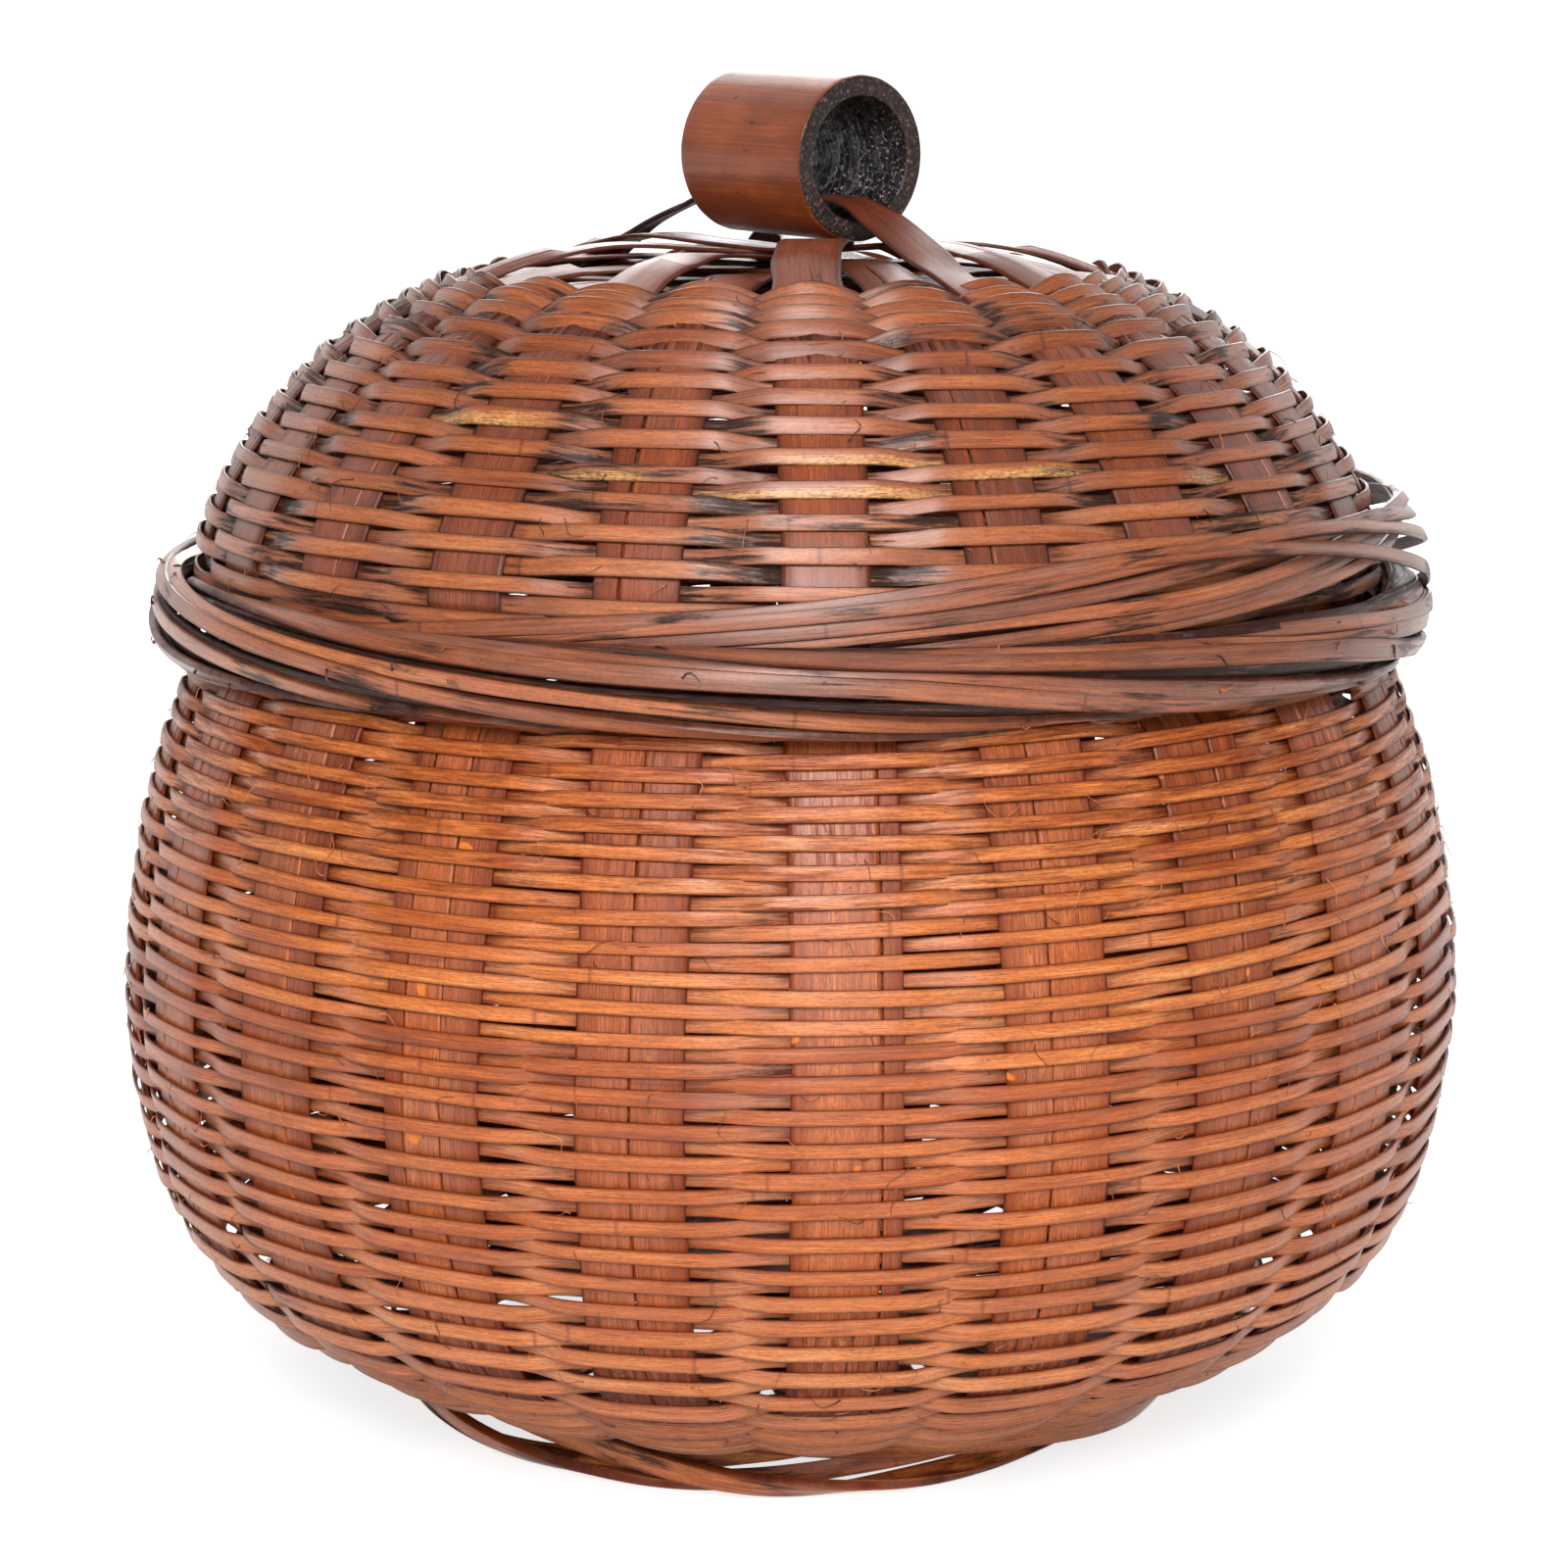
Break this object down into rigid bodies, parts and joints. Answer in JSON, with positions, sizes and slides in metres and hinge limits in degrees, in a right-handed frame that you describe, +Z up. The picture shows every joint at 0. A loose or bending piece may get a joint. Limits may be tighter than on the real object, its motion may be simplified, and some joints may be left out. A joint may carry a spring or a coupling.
{
  "type": "lidded round basket",
  "caption": "Round woven bamboo basket with a domed lift-off lid, a twisted lid border, a low twisted foot and a tube knob held by a flat strap.",
  "frame": {"origin": "on the floor, at the centre of the foot, on the basket's upright axis", "axes": "+Z up along the basket's axis, -Y towards the pictured front, +X to the viewer's right"},
  "size_m": [0.2006, 0.2008, 0.198],
  "materials": {
    "body_stake": "satin lacquered split bamboo, orange brown",
    "body_weaver": "satin lacquered split bamboo, orange brown",
    "lid_stake": "satin lacquered split bamboo, red brown",
    "lid_weaver": "satin lacquered split bamboo, red brown with scorched ends",
    "border_strip": "satin lacquered split bamboo, scorched dark brown",
    "knob": "polished bamboo stem, dark scorched end and bore"
  },
  "bodies": {
    "basket": {"body_stake_strip_1": "body_stake", "body_stake_strip_2": "body_stake", "body_stake_strip_3": "body_stake", "body_stake_strip_4": "body_stake", "body_stake_strip_5": "body_stake", "body_stake_strip_6": "body_stake", "body_stake_strip_7": "body_stake", "body_stake_strip_8": "body_stake", "body_stake_strip_9": "body_stake", "body_stake_strip_10": "body_stake", "body_stake_strip_11": "body_stake", "body_weaver_1": "body_weaver", "body_weaver_2": "body_weaver", "body_weaver_3": "body_weaver", "body_weaver_4": "body_weaver", "body_weaver_5": "body_weaver", "body_weaver_6": "body_weaver", "body_weaver_7": "body_weaver", "body_weaver_8": "body_weaver", "body_weaver_9": "body_weaver", "body_weaver_10": "body_weaver", "body_weaver_11": "body_weaver", "body_weaver_12": "body_weaver", "body_weaver_13": "body_weaver", "body_weaver_14": "body_weaver", "mouth_hoop_outer": "border_strip", "mouth_hoop_inner": "border_strip", "foot_strand_1": "border_strip", "foot_strand_2": "border_strip", "foot_strand_3": "border_strip"},
    "lid": {"lid_stake_strip_1": "lid_stake", "lid_stake_strip_2": "lid_stake", "lid_stake_strip_3": "lid_stake", "lid_stake_strip_4": "lid_stake", "lid_stake_strip_5": "lid_stake", "lid_stake_strip_6": "lid_stake", "lid_stake_strip_7": "lid_stake", "lid_stake_strip_8": "lid_stake", "lid_stake_strip_9": "lid_stake", "lid_stake_strip_10": "lid_stake", "lid_stake_strip_11": "lid_stake", "lid_weaver_1": "lid_weaver", "lid_weaver_2": "lid_weaver", "lid_weaver_3": "lid_weaver", "lid_weaver_4": "lid_weaver", "lid_weaver_5": "lid_weaver", "lid_weaver_6": "lid_weaver", "lid_border_strand_1": "border_strip", "lid_border_strand_2": "border_strip", "lid_border_strand_3": "border_strip", "lid_border_strand_4": "border_strip", "lid_border_strand_5": "border_strip", "lid_border_strand_6": "border_strip", "knob_strap": "border_strip"},
    "knob": {"knob_tube": "knob"}
  },
  "joints": [
    {"name": "lid_lift", "type": "slide", "parent": "basket", "child": "lid", "axis": [0, 0, 1], "range_m": [0, 0.1]},
    {"name": "knob_turn", "type": "hinge", "parent": "lid", "child": "knob", "pos_m": [0, 0, 0.1857], "axis": [0.6428, -0.766, 0], "continuous": true}
  ]
}
